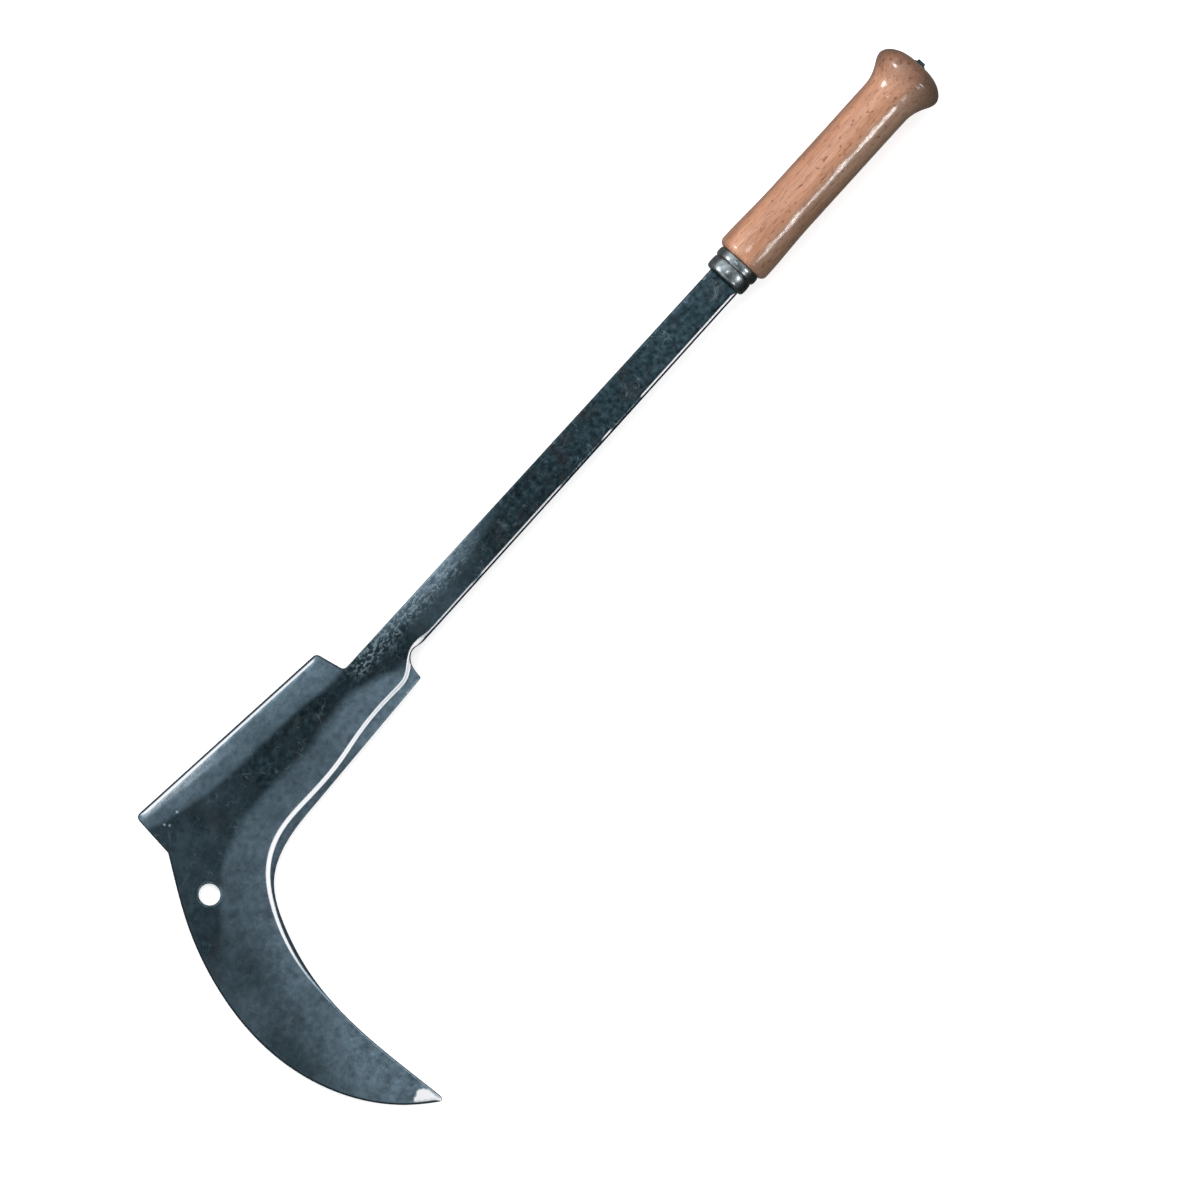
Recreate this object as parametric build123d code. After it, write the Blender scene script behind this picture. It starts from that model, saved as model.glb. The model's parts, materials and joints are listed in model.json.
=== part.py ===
from build123d import *
import os

# A long-shanked pruning sickle: a hooked blade with a straight heel blade on its back, forged in one
# piece with a flat shank and a tang. The tang runs right through a turned wooden handle and is
# peened over a small washer at the butt. Two steel rings, a band and a cap, bind the wood's neck.
#
# The pieces are drawn in the tool's own frame: X runs from the tang's peened end to the hook's back,
# Y points to the side that the hook's point is on, Z is square to the blade. Millimetres.
# The last step lays the finished tool on a flat surface, as it rests on a bench.

# ---- driving dimensions ------------------------------------------------------------------------
TOOL_LENGTH = 702.6  # tang's peened end to the hook's back

# Handle, from the butt forwards
BUTT_X = 2.7  # crown of the domed butt
POMMEL_RADIUS = 22.8
POMMEL_X = 12.8  # widest place of the pommel
NECK_X = 33.0  # end of the hollow behind the pommel
GRIP_RADIUS = 16.4
SWELL_RADIUS = 17.5  # the grip swells a little at its front end
SWELL_START_X = 115.0
WOOD_FRONT_X = 162.0
WOOD_FRONT_ROUND = 4.0
BAND_TENON_RADIUS = 13.3  # turned-down neck inside the band
CAP_TENON_RADIUS = 12.5  # and inside the cap

# Rings on the neck
BAND_FRONT_X = 168.0
BAND_RADIUS = 14.6
CAP_FRONT_X = 177.0
CAP_RADIUS = 14.0
CAP_WALL_FRONT = 2.0
RING_GAP = 0.05  # play between a ring and the wood it is pressed on

# Tang and its washer
TANG_ROOT_WIDTH = 11.0
TANG_ROOT_THICKNESS = 7.0
TANG_END_SIDE = 4.2
TANG_PLAY = 0.12  # play round the tang in the wood and the rings
PEEN_SIDE = 5.4
PEEN_HEIGHT = 1.5
WASHER_RADIUS = 3.8
WASHER_THICKNESS = 1.1

# Shank: a flat bar that widens and thins a little towards the blade
SHANK_AXIS_Y = 0.6  # the forging sits a little off the handle's axis
SHANK_REAR_WIDTH = 21.6
SHANK_REAR_THICKNESS = 8.0
SHANK_FRONT_WIDTH = 23.7
SHANK_FRONT_THICKNESS = 7.0
SHANK_FRONT_X = 462.0
SHANK_CHAMFER = 1.2

# Blade
BLADE_THICKNESS = 3.0
EDGE_THICKNESS = 0.6  # at the ground edges
CUTTING_BEVEL = 6.0  # width of the bevel along the inside of the hook
HEEL_BEVEL = 2.4  # width of the bevel along the heel blade
HOLE_CENTRE = (657.2, 19.6)
HOLE_RADIUS = 6.6

# Forged rib that carries the shank into the blade. Its flat crown falls away to a low foot beside
# the heel, and on the other side to a step, below which the blade is ground thin.
# Each section: x, foot, crown's two sides, step's top and foot, thickness at crown and at step.
RIB_SECTIONS = (
    (SHANK_FRONT_X, -10.8, -9.8, 11.0, 11.4, 12.4, SHANK_FRONT_THICKNESS, 6.6),
    (480.0, -11.2, -10.2, 10.0, 17.4, 19.8, 6.8, 5.6),
    (512.0, -26.0, -10.6, 0.5, 18.8, 21.2, 6.0, 4.6),
    (546.0, -30.0, -14.5, 2.0, 20.4, 22.8, 5.2, 4.0),
    (600.0, -35.0, -20.0, 2.5, 23.4, 25.8, 4.2, 3.6),
    (646.0, -39.0, -28.0, 10.0, 22.0, 24.0, BLADE_THICKNESS, BLADE_THICKNESS),
)

# Places where the tool touches the surface that it lies on, besides the pommel
HEEL_REST = (649.0, -42.0)
BACK_REST = (688.0, 41.0)


# ---- forged head ---------------------------------------------------------------------------------
def inner_edge():
    """The cutting edge: straight beside the heel, then round the crook and up to the point."""
    straight = Line((475.6, 26.0), (570.0, 29.9))
    crook = Spline(
        straight @ 1,
        (600.0, 32.2),
        (624.0, 41.9),
        (640.7, 65.6),
        (652.8, 101.6),
        (656.5, 146.0),
        (653.3, 203.0),
        tangents=[straight % 1, (-0.06, 1)],
    )
    return straight, crook


def back_edge(point_end):
    """The hook's back, from the point round to the corner above the heel."""
    return Spline(
        point_end,
        (671.4, 191.6),
        (693.6, 155.6),
        (TOOL_LENGTH, 107.6),
        (695.1, 59.6),
        (680.3, 23.6),
        (655.3, -15.6),
        tangents=[(0.78, -0.62), (-0.56, -0.83)],
    )


def blade_outline():
    """The flat shape of the blade and heel, with a stub that reaches back into the shank."""
    low_side = SHANK_AXIS_Y - SHANK_FRONT_WIDTH / 2
    high_side = SHANK_AXIS_Y + SHANK_FRONT_WIDTH / 2
    stub_x = SHANK_FRONT_X - 12.0
    straight, crook = inner_edge()
    point = RadiusArc(crook @ 1, (655.9, 205.6), 2.0)
    back = back_edge(point @ 1)
    hollow = Spline(
        (SHANK_FRONT_X - 4.0, high_side),
        (467.0, 11.2),
        (473.2, 15.8),
        straight @ 0,
        tangents=[(1, 0), (0.1, 1)],
    )
    heel = FilletPolyline(
        back @ 1,
        (652.4, -44.7),
        (507.2, -30.3),
        (503.2, low_side),
        (stub_x, low_side),
        radius=3.4,
    )
    stub_end = Line(heel @ 1, (stub_x, high_side))
    stub_side = Line(stub_end @ 1, hollow @ 0)
    return make_face([stub_end, stub_side, hollow, straight, crook, point, back, heel])


def bevel_cutter(path, width, side):
    """The metal ground away along an edge: a wedge swept beside it, on the upper or lower face."""
    along = path % 0
    plane = Plane(origin=path @ 0, x_dir=along.rotate(Axis.Z, -90), z_dir=along)
    edge, face = EDGE_THICKNESS / 2, BLADE_THICKNESS / 2
    slope = (face - edge) / width
    wedge = [(-1, edge - slope), (width, face), (width, face + 1), (-1, face + 1)]
    section = make_face(Polyline([(x, -side * y) for x, y in wedge], close=True))
    return sweep(plane * section, path=path, normal=(0, 0, 1))


def blade_plate():
    """The blade as an even plate, ground from both faces along the cutting edge and the heel."""
    plate = extrude(blade_outline(), amount=BLADE_THICKNESS / 2, both=True)
    straight, crook = inner_edge()
    heel = Line((660.0, -45.4), (500.0, -29.6))
    ground = ((straight, CUTTING_BEVEL), (crook, CUTTING_BEVEL), (heel, HEEL_BEVEL))
    for side in (1, -1):
        for path, width in ground:
            plate -= bevel_cutter(path, width, side)
    return plate


def rib_section(x, foot, crown_low, crown_high, step_top, step_foot, thickness, step_thickness):
    """One section across the rib, the same above and below the blade's middle plane."""
    sunk = BLADE_THICKNESS / 2 - 0.3
    upper = [
        (foot, sunk),
        (crown_low, thickness / 2),
        (crown_high, thickness / 2),
        (step_top, step_thickness / 2),
        (step_foot, sunk),
    ]
    lower = [(y, -z) for y, z in reversed(upper)]
    return make_face(Polyline([Vector(x, y, z) for y, z in upper + lower], close=True))


def rib():
    """The rib, trimmed to the blade's outline."""
    body = loft([rib_section(*section) for section in RIB_SECTIONS], ruled=True)
    return body & extrude(blade_outline(), amount=SHANK_FRONT_THICKNESS, both=True)


def bar_section(x, width, thickness, corner):
    """A rectangle across X with its four corners cut off."""
    plane = Plane(origin=(x, SHANK_AXIS_Y, 0), x_dir=(0, 1, 0), z_dir=(1, 0, 0))
    shape = Rectangle(width, thickness)
    return plane * chamfer(shape.vertices(), corner)


def shank():
    rear = bar_section(CAP_FRONT_X, SHANK_REAR_WIDTH, SHANK_REAR_THICKNESS, SHANK_CHAMFER)
    front = bar_section(SHANK_FRONT_X, SHANK_FRONT_WIDTH, SHANK_FRONT_THICKNESS, SHANK_CHAMFER)
    return loft([rear, front], ruled=True)


def tang_size(x, play=0.0):
    """The tang's width and thickness at a place along it."""
    share = (x - PEEN_HEIGHT) / (CAP_FRONT_X - PEEN_HEIGHT)
    width = TANG_END_SIDE + share * (TANG_ROOT_WIDTH - TANG_END_SIDE)
    thickness = TANG_END_SIDE + share * (TANG_ROOT_THICKNESS - TANG_END_SIDE)
    return width + 2 * play, thickness + 2 * play


def tang_body(start_x, end_x, play=0.0):
    """The tapered tang, or with play the hole that it passes through."""
    sections = []
    for x in (start_x, end_x):
        plane = Plane(origin=(x, 0, 0), x_dir=(0, 1, 0), z_dir=(1, 0, 0))
        sections.append(plane * Rectangle(*tang_size(x, play)))
    return loft(sections, ruled=True)


def peened_end():
    """The end of the tang, hammered out over the washer."""
    plane = Plane(origin=(0, 0, 0), x_dir=(0, 1, 0), z_dir=(1, 0, 0))
    head = extrude(plane * Rectangle(PEEN_SIDE, PEEN_SIDE), amount=PEEN_HEIGHT)
    return chamfer(head.faces().sort_by(Axis.X)[0].edges(), 0.5)


def forged_head():
    hole = Cylinder(HOLE_RADIUS, 4 * BLADE_THICKNESS).moved(Location((*HOLE_CENTRE, 0)))
    blade = blade_plate() + rib() + shank()
    return blade + tang_body(PEEN_HEIGHT, CAP_FRONT_X) + peened_end() - hole


# ---- handle ---------------------------------------------------------------------------------------
def handle_profile():
    """Half of the turned wood's section, above its axis."""
    butt = BUTT_X
    crown = Spline(
        (butt, WASHER_RADIUS + 0.3),
        (6.2, 18.4),
        (POMMEL_X, POMMEL_RADIUS),
        tangents=[(0, 1), (1, 0)],
    )
    hollow = Spline(
        crown @ 1,
        (20.4, 19.8),
        (NECK_X, GRIP_RADIUS),
        tangents=[(1, 0), (1, 0)],
    )
    grip = Line(hollow @ 1, (SWELL_START_X, GRIP_RADIUS))
    swell_end = WOOD_FRONT_X - WOOD_FRONT_ROUND
    swell = Spline(grip @ 1, (swell_end, SWELL_RADIUS), tangents=[(1, 0), (1, 0)])
    shoulder = RadiusArc(swell @ 1, (WOOD_FRONT_X, SWELL_RADIUS - WOOD_FRONT_ROUND + 0.8), WOOD_FRONT_ROUND)
    neck = Polyline(
        shoulder @ 1,
        (WOOD_FRONT_X, BAND_TENON_RADIUS),
        (BAND_FRONT_X, BAND_TENON_RADIUS),
        (BAND_FRONT_X, CAP_TENON_RADIUS),
        (CAP_FRONT_X - CAP_WALL_FRONT - 0.1, CAP_TENON_RADIUS),
        (CAP_FRONT_X - CAP_WALL_FRONT - 0.1, 0),
        (butt, 0),
        crown @ 0,
    )
    return make_face([crown, hollow, grip, swell, shoulder, neck])


def wooden_handle():
    turned = revolve(handle_profile(), axis=Axis.X)
    return turned - tang_body(PEEN_HEIGHT, CAP_FRONT_X, TANG_PLAY)


# ---- rings and washer -------------------------------------------------------------------------------
def ring(start_x, end_x, inner_radius, outer_radius, edge_round):
    """A steel ring round the X axis with rounded outer edges."""
    plane = Plane(origin=(start_x, 0, 0), x_dir=(0, 1, 0), z_dir=(1, 0, 0))
    solid = extrude(plane * Circle(outer_radius), amount=end_x - start_x)
    solid = fillet(solid.edges(), edge_round)
    if inner_radius:
        solid -= extrude(plane * Circle(inner_radius), amount=end_x - start_x)
    return solid


def ferrule_band():
    inner = BAND_TENON_RADIUS + RING_GAP
    return ring(WOOD_FRONT_X + RING_GAP, BAND_FRONT_X, inner, BAND_RADIUS, 0.6)


def ferrule_cap():
    """A cap over the end of the neck, closed but for the slot that the tang passes through."""
    rear_x = BAND_FRONT_X + RING_GAP
    cap = ring(rear_x, CAP_FRONT_X - RING_GAP, 0, CAP_RADIUS, 1.1)
    plane = Plane(origin=(rear_x, 0, 0), x_dir=(0, 1, 0), z_dir=(1, 0, 0))
    pocket_depth = CAP_FRONT_X - CAP_WALL_FRONT - rear_x
    cap -= extrude(plane * Circle(CAP_TENON_RADIUS + RING_GAP), amount=pocket_depth)
    return cap - tang_body(PEEN_HEIGHT, CAP_FRONT_X, TANG_PLAY)


def tang_washer():
    start_x = BUTT_X - WASHER_THICKNESS
    washer = ring(start_x, BUTT_X - RING_GAP, 0, WASHER_RADIUS, 0.25)
    return washer - tang_body(0, CAP_FRONT_X, TANG_PLAY)


# ---- the tool as it lies on a flat surface -----------------------------------------------------------
def resting_plane():
    """The surface under the tool: it touches the pommel, the heel's corner and the hook's back."""
    half = BLADE_THICKNESS / 2
    pommel = Vector(POMMEL_X, 0, -POMMEL_RADIUS)
    to_heel = Vector(*HEEL_REST, -half) - pommel
    to_back = Vector(*BACK_REST, -half) - pommel
    up = to_heel.cross(to_back).normalized()
    forward = (Vector(1, 0, 0) - up * up.X).normalized()
    return Plane(origin=pommel, x_dir=forward, z_dir=up)


def main():
    pieces = {
        "forged_head": forged_head(),
        "wooden_handle": wooden_handle(),
        "ferrule_band": ferrule_band(),
        "ferrule_cap": ferrule_cap(),
        "tang_washer": tang_washer(),
    }
    floor = resting_plane()
    laid = {name: floor.to_local_coords(piece) for name, piece in pieces.items()}
    box = Compound(list(laid.values())).bounding_box(optimal=True)
    shift = Location((-box.center().X, -box.center().Y, -box.min.Z))
    os.makedirs("parts", exist_ok=True)
    for name, piece in laid.items():
        export_step(piece.moved(shift), f"parts/{name}.step")
        print(name, round(piece.volume), piece.is_valid)
    for name, point, axis in (
        ("grip", (90.0, 0, 0), (1, 0, 0)),
        ("hanging_hole", (*HOLE_CENTRE, 0), (0, 0, 1)),
    ):
        origin = shift * Location(floor.to_local_coords(Vector(*point)))
        tip = shift * Location(floor.to_local_coords(Vector(*point) + Vector(*axis)))
        print(name, tuple(origin.position), tuple(tip.position - origin.position))


main()
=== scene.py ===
import json
import math

import bpy
import numpy as np
from mathutils import Matrix, Vector, geometry, kdtree, noise

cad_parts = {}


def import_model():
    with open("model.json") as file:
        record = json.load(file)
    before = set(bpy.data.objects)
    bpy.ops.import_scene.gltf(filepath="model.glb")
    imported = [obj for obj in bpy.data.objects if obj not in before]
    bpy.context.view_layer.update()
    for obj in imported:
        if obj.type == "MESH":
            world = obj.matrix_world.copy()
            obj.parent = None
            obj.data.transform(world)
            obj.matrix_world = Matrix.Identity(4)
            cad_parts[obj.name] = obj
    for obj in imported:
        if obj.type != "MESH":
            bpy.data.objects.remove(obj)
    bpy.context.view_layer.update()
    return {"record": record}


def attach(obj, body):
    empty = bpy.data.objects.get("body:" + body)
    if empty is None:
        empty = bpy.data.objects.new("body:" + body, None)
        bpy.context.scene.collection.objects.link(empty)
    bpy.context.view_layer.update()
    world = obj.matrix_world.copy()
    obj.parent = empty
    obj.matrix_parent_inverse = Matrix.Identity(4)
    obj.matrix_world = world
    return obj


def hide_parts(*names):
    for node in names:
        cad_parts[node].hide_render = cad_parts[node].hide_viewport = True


# The looks of a long-shanked pruning sickle: one dark forging (hooked blade, heel, shank and tang),
# a turned and varnished wooden handle, two steel rings on its neck and a washer at the butt.
# Shapes are worked out in the tool's own frame, in millimetres: X from the butt to the blade,
# Y to the side of the hook's point, Z square to the blade. The record's mounts say how that
# frame lies in the row's frame.

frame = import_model()

# ---- sizes, in the tool's frame, in millimetres ------------------------------------------------
GRIP_MOUNT_X = 90.0  # the place of the record's mount "grip"
HOLE_CENTRE = (657.2, 19.6)
HOLE_RADIUS = 6.6

BUTT_X = 2.7
POMMEL_X, POMMEL_RADIUS = 12.8, 22.8
NECK_X, GRIP_RADIUS = 33.0, 16.4
SWELL_START_X, SWELL_RADIUS = 115.0, 17.5
WOOD_FRONT_X, WOOD_FRONT_ROUND = 162.0, 4.0
BAND_FRONT_X, BAND_RADIUS, BAND_BORE = 168.0, 14.6, 13.35
CAP_FRONT_X, CAP_RADIUS, CAP_BORE, CAP_FRONT_WALL = 176.95, 14.0, 12.55, 2.0
WASHER_RADIUS, WASHER_BACK_X = 3.8, 1.6
FIT_GAP = 0.05  # between pressed pieces

SHANK_AXIS_Y = 0.6
SHANK_REAR = (177.0, 21.6, 4.0)  # x, width, half thickness
SHANK_FRONT = (462.0, 23.7, 3.5)
TANG_ROOT = (5.5, 3.5)  # half width, half thickness at the shank
TANG_END = (2.1, 2.1)
PEEN_HALF, PEEN_LENGTH = 2.7, 1.5
TANG_PLAY = 0.12

OUTLINE_STEP = 1.0  # of the mesh along the forging's outline
GRID_STEP = 1.5  # of the mesh inside it
FINE_STEP = 0.3


def to_row_frame():
    """The matrix from the tool's frame (mm) to the row's frame (m)."""
    mounts = {m["name"]: m for m in frame["record"]["mounts"]}
    forward = Vector(mounts["grip"]["axis"]).normalized()
    up = Vector(mounts["hanging_hole"]["axis"]).normalized()
    turn = Matrix((forward, up.cross(forward), up)).transposed().to_4x4()
    turn = turn @ Matrix.Scale(0.001, 4)
    grip = Vector(mounts["grip"]["pos_m"])
    return Matrix.Translation(grip - turn @ Vector((GRIP_MOUNT_X, 0, 0))) @ turn


TO_ROW = to_row_frame()


def make_piece(name, points, faces, values=None):
    """A smooth mesh from points in the tool's frame, which its materials read as attribute 'tool'."""
    points = np.asarray(points, float)
    matrix = np.array(TO_ROW)
    mesh = bpy.data.meshes.new(name)
    mesh.from_pydata((points @ matrix[:3, :3].T + matrix[:3, 3]).tolist(), [], faces)
    place = mesh.attributes.new("tool", "FLOAT_VECTOR", "POINT")
    place.data.foreach_set("vector", points.astype(np.float32).ravel())
    for key, numbers in (values or {}).items():
        layer = mesh.attributes.new(key, "FLOAT", "POINT")
        layer.data.foreach_set("value", np.asarray(numbers, np.float32))
    mesh.shade_smooth()
    piece = bpy.data.objects.new(name, mesh)
    bpy.context.scene.collection.objects.link(piece)
    return piece


# ---- curves ------------------------------------------------------------------------------------
def smooth_curve(points, step, start=None, end=None):
    """Evenly spaced places on a cubic spline through the points; start and end are its directions."""
    points = np.asarray(points, float)
    span = np.linalg.norm(np.diff(points, axis=0), axis=1)
    count = len(points)
    matrix, right = np.zeros((count, count)), np.zeros_like(points)
    for i in range(1, count - 1):
        matrix[i, i - 1 : i + 2] = span[i], 2 * (span[i - 1] + span[i]), span[i - 1]
        before = (points[i] - points[i - 1]) / span[i - 1]
        after = (points[i + 1] - points[i]) / span[i]
        right[i] = 3 * (span[i] * before + span[i - 1] * after)
    for i, inner, way in ((0, 1, start), (count - 1, count - 2, end)):
        if way is None:
            chord = (points[max(i, inner)] - points[min(i, inner)]) / span[min(i, inner)]
            matrix[i, i], matrix[i, inner], right[i] = 2, 1, 3 * chord
        else:
            matrix[i, i], right[i] = 1, np.array(way, float) / np.linalg.norm(way)
    slopes = np.linalg.solve(matrix, right)
    t = np.linspace(0, 1, 60, endpoint=False)[:, None]
    dense = []
    for i in range(count - 1):
        a, b = points[i], points[i + 1]
        m, n = slopes[i] * span[i], slopes[i + 1] * span[i]
        dense.append(
            (2 * t**3 - 3 * t**2 + 1) * a
            + (t**3 - 2 * t**2 + t) * m
            + (3 * t**2 - 2 * t**3) * b
            + (t**3 - t**2) * n
        )
    return resample(np.vstack(dense + [points[-1:]]), step)


def resample(line, step):
    """The same line with evenly spaced points, both ends kept."""
    length = np.concatenate([[0], np.cumsum(np.linalg.norm(np.diff(line, axis=0), axis=1))])
    count = max(2, round(length[-1] / step) + 1)
    at = np.linspace(0, length[-1], count)
    return np.stack([np.interp(at, length, line[:, 0]), np.interp(at, length, line[:, 1])], 1)


def rounded(corner, before, after, radius):
    """An arc of that radius that rounds the corner of two straight lines."""
    corner, before, after = (np.array(p, float) for p in (corner, before, after))
    a = (before - corner) / np.linalg.norm(before - corner)
    b = (after - corner) / np.linalg.norm(after - corner)
    half = math.acos(np.clip(a @ b, -1, 1)) / 2
    centre = corner + (a + b) / np.linalg.norm(a + b) * radius / math.sin(half)
    first, last = corner + a * radius / math.tan(half), corner + b * radius / math.tan(half)
    share = np.linspace(0, 1, 8)[:, None]
    spokes = (first - centre) * (1 - share) + (last - centre) * share
    return centre + spokes / np.linalg.norm(spokes, axis=1)[:, None] * radius


def ease(value, low, high):
    """0 below low, 1 above high and smooth between them."""
    t = np.clip((value - low) / (high - low), 0, 1)
    return t * t * (3 - 2 * t)


def lumps(points, size, seed):
    """Even random relief, about -1 to 1, whose lumps are about that many millimetres across."""
    return np.array([noise.noise(Vector((x / size, y / size, seed))) for x, y in points])


# ---- the forging's outline ---------------------------------------------------------------------
STRAIGHT_EDGE = ((475.6, 26.0), (570.0, 29.9))
CROOK_EDGE = (
    (570.0, 29.9),
    (600.0, 32.2),
    (624.0, 41.9),
    (640.7, 65.6),
    (652.8, 101.6),
    (656.5, 146.0),
    (653.3, 203.0),
)
BACK = (
    (656.3, 205.3),
    (671.4, 191.6),
    (693.6, 155.6),
    (702.5, 107.6),
    (695.1, 59.6),
    (680.3, 23.6),
    (655.3, -15.6),
)
HEEL_REAR, HEEL_FRONT = (652.4, -44.6), (507.2, -30.3)
LOW_SIDE = SHANK_AXIS_Y - SHANK_FRONT[1] / 2
HIGH_SIDE = SHANK_AXIS_Y + SHANK_FRONT[1] / 2
HOLLOW = ((458.0, HIGH_SIDE), (467.0, 11.2), (473.0, 15.8), (475.3, 24.6))
SHOULDER, SHOULDER_RADIUS = (475.6, 26.0), 0.9
CUTTING_START = (477.0, 26.06)
TIP_TOP = (654.3, 205.6)
HEEL_TOP = (503.2, LOW_SIDE)
HEEL_CORNER_RADIUS = 3.4
SMALL_RADIUS = 0.8  # of the shank's rear corners and of the peened end
# Directions of the curves at their ends
CROOK_START, CROOK_END = (94.4, 3.9), (-0.06, 1.0)
BACK_START, BACK_END = (0.78, -0.62), (-0.56, -0.83)

# How the forging meets its outline: width of the rounded or ground strip, thickness that it loses
# on each face there, whether that strip is round (1) or flat (0), how bright it is, worn and painted
# up into a highlight, and how far the painted shade of the narrow side reaches onto it.
EDGE_KINDS = {
    "shank_high": (2.3, 2.3, 1.0, 1.0, 1.15),
    "shank_low": (0.9, 0.9, 1.0, 0.0, 0.5),
    "hollow": (1.0, 1.0, 1.0, 0.0, 0.6),
    "cutting": (0.8, 9.0, 0.3, 0.0, 0.7),
    "point": (0.9, 9.0, 0.5, 0.0, 0.5),
    "back": (1.6, 1.0, 1.0, 0.0, 2.0),
    "heel_end": (0.9, 0.6, 1.0, 0.0, 1.1),
    "heel": (3.0, 9.0, 0.1, 0.8, 1.6),
    "tang": (0.4, 0.4, 1.0, 0.0, 0.4),
    "peen": (0.3, 0.9, 1.0, 0.0, 0.3),
    "peen_back": (0.1, 0.1, 1.0, 0.0, 0.1),
}
HOLE_EDGE = (0.9, 0.55, 0.6, 0.1, 0.5)
INNER_EDGE = (9.0, 0.0, 1.0, 0.0, 0.1)  # for places away from every edge
THINNEST = 0.18  # half thickness that no edge goes below


def straight(a, b, step=OUTLINE_STEP):
    """Evenly spaced places on a straight line."""
    return resample(np.array([a, b], float), step)


def crook_curve(step):
    """The hook's inner edge, from the straight edge to the point."""
    return smooth_curve(CROOK_EDGE, step, CROOK_START, CROOK_END)


def forging_outline():
    """The outline's stretches in order, clockwise seen from above, each with its kind of edge."""
    rear_low = SHANK_AXIS_Y - SHANK_REAR[1] / 2
    rear_high = SHANK_AXIS_Y + SHANK_REAR[1] / 2
    x = SHANK_REAR[0]
    back_end = BACK[-1]
    crook = crook_curve(OUTLINE_STEP)
    tip = smooth_curve([crook[-1], TIP_TOP, BACK[0]], FINE_STEP, CROOK_END, BACK_START)
    heel_corner = rounded(HEEL_REAR, back_end, HEEL_FRONT, HEEL_CORNER_RADIUS)
    front_corner = rounded(HEEL_FRONT, HEEL_REAR, HEEL_TOP, HEEL_CORNER_RADIUS)
    neck = rounded(HEEL_TOP, HEEL_FRONT, (x, rear_low), HEEL_CORNER_RADIUS)
    peen, end, root = PEEN_HALF, TANG_END[0], TANG_ROOT[0]
    high_corner = rounded((x, rear_high), (x, root), (300, rear_high), SMALL_RADIUS)
    low_corner = rounded((x, rear_low), (300, rear_low), (x, -root), SMALL_RADIUS)
    return [
        (high_corner, "tang"),
        (straight(high_corner[-1], HOLLOW[0]), "shank_high"),
        (smooth_curve(HOLLOW, 0.6, (1, 0), (0.1, 1)), "hollow"),
        (rounded(SHOULDER, HOLLOW[-1], CUTTING_START, SHOULDER_RADIUS), "hollow"),
        (straight(CUTTING_START, STRAIGHT_EDGE[1]), "cutting"),
        (crook, "cutting"),
        (tip, "point"),
        (smooth_curve(BACK, OUTLINE_STEP, BACK_START, BACK_END), "back"),
        (straight(back_end, heel_corner[0]), "heel_end"),
        (heel_corner, "heel_end"),
        (straight(heel_corner[-1], front_corner[0]), "heel"),
        (front_corner, "heel_end"),
        (straight(front_corner[-1], neck[0], 0.6), "heel_end"),
        (neck, "heel_end"),
        (straight(neck[-1], low_corner[0]), "shank_low"),
        (low_corner, "tang"),
        (straight(low_corner[-1], (x, -root)), "tang"),
        (straight((x, -root), (PEEN_LENGTH, -end)), "tang"),
        (straight((PEEN_LENGTH, -end), (PEEN_LENGTH, -peen), FINE_STEP), "peen_back"),
        (straight((PEEN_LENGTH, -peen), (SMALL_RADIUS, -peen), FINE_STEP), "peen"),
        (rounded((0, -peen), (1, -peen), (0, 0), SMALL_RADIUS), "peen"),
        (rounded((0, peen), (0, 0), (1, peen), SMALL_RADIUS), "peen"),
        (straight((SMALL_RADIUS, peen), (PEEN_LENGTH, peen), FINE_STEP), "peen"),
        (straight((PEEN_LENGTH, peen), (PEEN_LENGTH, end), FINE_STEP), "peen_back"),
        (straight((PEEN_LENGTH, end), (x, root)), "tang"),
        (straight((x, root), high_corner[0]), "tang"),
    ]


SAME_PLACE = 0.12  # places nearer than this are one


def closed_loop(stretches):
    """Joins stretches into one loop: its points, their normals into the metal and edge settings."""
    points, settings = [], []
    for line, kind in stretches:
        for point in line:
            if points and np.hypot(*(point - points[-1])) < SAME_PLACE:
                continue
            points.append(point)
            settings.append(EDGE_KINDS[kind])
    points, settings = np.array(points), np.array(settings)
    if np.hypot(*(points[0] - points[-1])) < SAME_PLACE:
        points, settings = points[:-1], settings[:-1]
    along = np.roll(points, -1, 0) - np.roll(points, 1, 0)
    along /= np.linalg.norm(along, axis=1)[:, None]
    normals = np.stack([along[:, 1], -along[:, 0]], 1)
    for _ in range(3):
        settings = (np.roll(settings, 1, 0) + settings + np.roll(settings, -1, 0)) / 3
    narrow_where_tight(points, normals, settings)
    return points, normals, settings


def narrow_where_tight(points, normals, settings):
    """Narrows the edge strip until its inner border no longer folds back in a tight corner."""
    step = np.roll(points, -1, 0) - points
    for _ in range(80):
        inner = points + normals * settings[:, :1]
        progress = ((np.roll(inner, -1, 0) - inner) * step).sum(1) / (step * step).sum(1)
        tight = progress < 0.2
        if not tight.any():
            return
        settings[tight | np.roll(tight, 1), 0] *= 0.92


class Nearest:
    """Finds a polyline's nearest place: its distance, its distance on the metal's side (both below
    zero on the other side) and its index. The polyline's settings are kept with it."""

    def __init__(self, points, normals, settings=None):
        self.points, self.normals, self.settings = points, normals, settings
        self.tree = kdtree.KDTree(len(points))
        for i, (x, y) in enumerate(points):
            self.tree.insert((x, y, 0), i)
        self.tree.balance()

    def __call__(self, places):
        index = np.array([self.tree.find((x, y, 0))[1] for x, y in places])
        gap = places - self.points[index]
        side = np.einsum("ij,ij->i", gap, self.normals[index])
        return np.copysign(np.hypot(gap[:, 0], gap[:, 1]), side), side, index


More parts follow.
